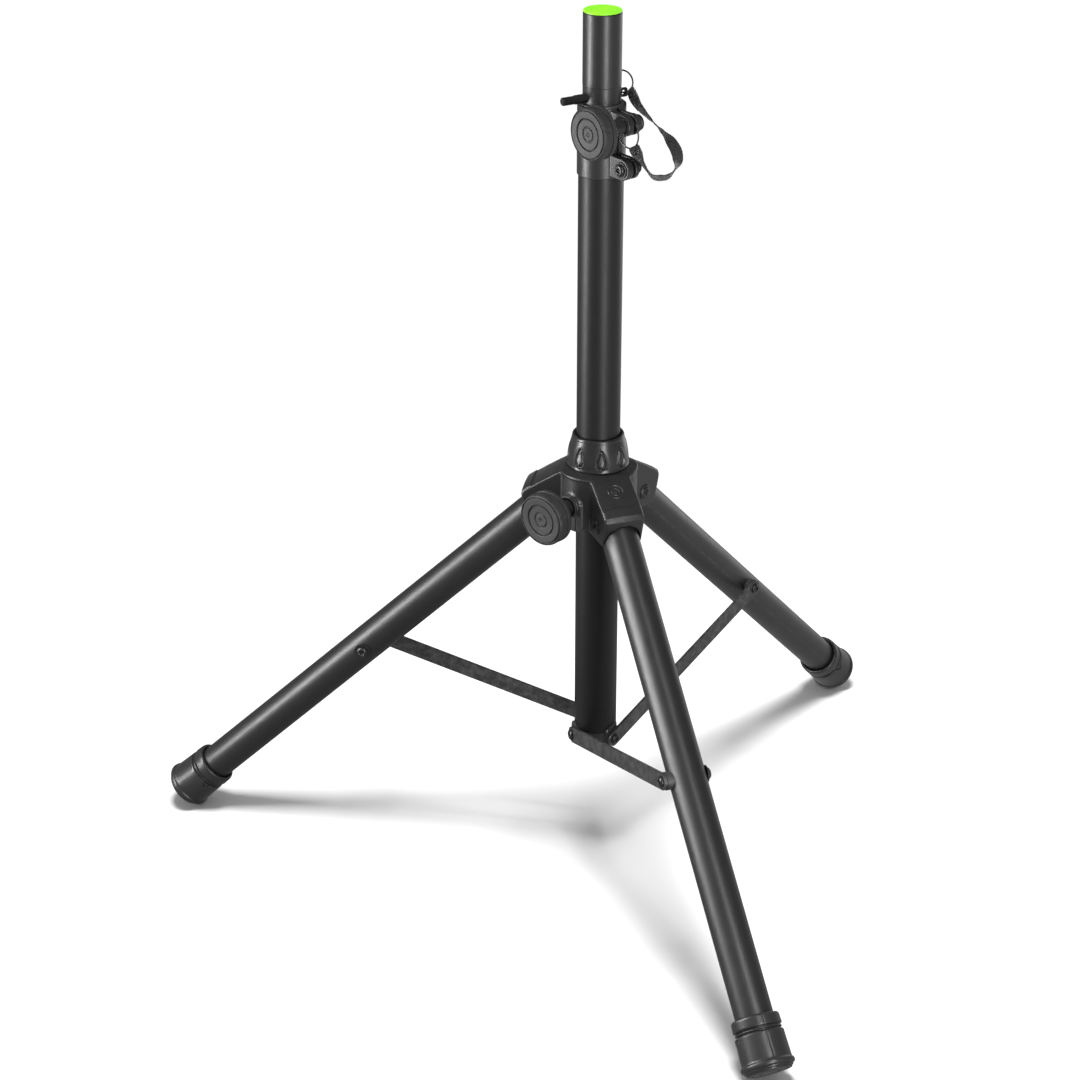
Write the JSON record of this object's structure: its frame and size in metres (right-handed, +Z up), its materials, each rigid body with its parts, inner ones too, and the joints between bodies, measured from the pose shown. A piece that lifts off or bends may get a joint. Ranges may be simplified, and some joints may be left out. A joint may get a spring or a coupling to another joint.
{
  "type": "speaker tripod stand",
  "caption": "Telescoping loudspeaker stand: round mast and pole with clamp knobs, and folding tube legs braced by flat strut bars from a sliding hub.",
  "frame": {"origin": "on the floor, on the mast's axis", "axes": "+Z up the mast; the front leg points along -Y, the other legs 120 degrees apart"},
  "size_m": [0.7772, 0.6799, 0.8523],
  "materials": {
    "tube_black": "satin powder coat",
    "moulded_black": "satin moulded",
    "crown_gloss": "glossy moulded",
    "foot_rubber": "semi-gloss moulded rubber",
    "knob_grey": "matte rubber coated",
    "cap_green": "semi-gloss moulded",
    "webbing_black": "woven ribbed webbing",
    "wire_steel": "drawn wire",
    "nylon_black": "moulded",
    "insert_brass": "turned",
    "pin_steel": "turned",
    "hardware_black": "black oxide"
  },
  "bodies": {
    "mast": {"mast_tube": "tube_black", "bottom_bracket": "moulded_black", "strut_inner_bolts": "hardware_black", "collar_clamp": "moulded_black", "collar_clamp_screw": "hardware_black", "collar_screw_washer": "hardware_black", "collar_clamp_nut": "hardware_black", "collar_knob_nut": "hardware_black", "collar_nut_washer": "hardware_black", "pole_bushing": "nylon_black", "collar_ring": "wire_steel", "strap_eyelet_lower": "wire_steel", "retaining_strap": "webbing_black"},
    "pole": {"pole_tube": "tube_black", "pole_cap": "cap_green", "pole_foot_guide": "nylon_black"},
    "lock_pin": {"lock_pin": "pin_steel", "pin_ring": "wire_steel", "strap_eyelet_upper": "wire_steel"},
    "collar_knob": {"collar_knob": "knob_grey", "collar_knob_stem": "hardware_black"},
    "hub": {"hub_casting": "moulded_black", "hub_bushing": "nylon_black", "crown_ring": "crown_gloss", "leg_pivot_bolts": "hardware_black", "leg_pivot_nuts": "hardware_black", "hub_knob_insert": "insert_brass", "hub_brake_pad": "nylon_black"},
    "hub_knob": {"hub_knob": "knob_grey", "hub_knob_stud": "hardware_black"},
    "leg_front": {"leg_tube_front": "tube_black", "leg_plug_front": "nylon_black", "foot_boot_front": "foot_rubber", "strut_spacer_front": "nylon_black", "leg_cross_bolt_front": "hardware_black", "leg_washer_front": "hardware_black"},
    "strut_front": {"strut_bar_front": "tube_black", "strut_outer_bolt_front": "hardware_black"},
    "leg_right": {"leg_tube_right": "tube_black", "leg_plug_right": "nylon_black", "foot_boot_right": "foot_rubber", "strut_spacer_right": "nylon_black", "leg_cross_bolt_right": "hardware_black", "leg_washer_right": "hardware_black"},
    "strut_right": {"strut_bar_right": "tube_black", "strut_outer_bolt_right": "hardware_black"},
    "leg_left": {"leg_tube_left": "tube_black", "leg_plug_left": "nylon_black", "foot_boot_left": "foot_rubber", "strut_spacer_left": "nylon_black", "leg_cross_bolt_left": "hardware_black", "leg_washer_left": "hardware_black"},
    "strut_left": {"strut_bar_left": "tube_black", "strut_outer_bolt_left": "hardware_black"}
  },
  "joints": [
    {"name": "hub_slide", "type": "slide", "parent": "mast", "child": "hub", "axis": [0, 0, 1], "range_m": [0, 0.2379]},
    {"name": "pole_slide", "type": "slide", "parent": "mast", "child": "pole", "axis": [0, 0, 1], "range_m": [0, 0.54]},
    {"name": "pin_pull", "type": "slide", "parent": "mast", "child": "lock_pin", "axis": [0.9857, 0.1685, 0], "range_m": [0, 0.06], "deforming": ["retaining_strap"]},
    {"name": "collar_knob_turn", "type": "hinge", "parent": "mast", "child": "collar_knob", "pos_m": [0.01231, -0.03383, 0.7564], "axis": [-0.9397, -0.342, 0], "range_deg": [0, 540]},
    {"name": "hub_knob_turn", "type": "hinge", "parent": "hub", "child": "hub_knob", "pos_m": [0, 0, 0.3878], "axis": [-0.866, -0.5, 0], "range_deg": [0, 540]},
    {"name": "leg_front_fold", "type": "hinge", "parent": "hub", "child": "leg_front", "pos_m": [0, -0.048, 0.37644], "axis": [1, 0, 0], "range_deg": [0, 44]},
    {"name": "strut_front_fold", "type": "hinge", "parent": "mast", "child": "strut_front", "pos_m": [0, 0, 0.1262], "axis": [-1, 0, 0], "range_deg": [0, 57.51]},
    {"name": "leg_right_fold", "type": "hinge", "parent": "hub", "child": "leg_right", "pos_m": [0.04157, 0.024, 0.37644], "axis": [-0.5, 0.866, 0], "range_deg": [0, 44]},
    {"name": "strut_right_fold", "type": "hinge", "parent": "mast", "child": "strut_right", "pos_m": [0, 0, 0.1262], "axis": [0.5, -0.866, 0], "range_deg": [0, 57.51]},
    {"name": "leg_left_fold", "type": "hinge", "parent": "hub", "child": "leg_left", "pos_m": [-0.04157, 0.024, 0.37644], "axis": [-0.5, -0.866, 0], "range_deg": [0, 44]},
    {"name": "strut_left_fold", "type": "hinge", "parent": "mast", "child": "strut_left", "pos_m": [0, 0, 0.1262], "axis": [0.5, 0.866, 0], "range_deg": [0, 57.51]}
  ],
  "couplings": [
    {"joint": "leg_front_fold", "follows": "hub_slide", "rad_per_m": 3.228},
    {"joint": "strut_front_fold", "follows": "hub_slide", "rad_per_m": 4.2191},
    {"joint": "leg_right_fold", "follows": "hub_slide", "rad_per_m": 3.228},
    {"joint": "strut_right_fold", "follows": "hub_slide", "rad_per_m": 4.2191},
    {"joint": "leg_left_fold", "follows": "hub_slide", "rad_per_m": 3.228},
    {"joint": "strut_left_fold", "follows": "hub_slide", "rad_per_m": 4.2191}
  ]
}
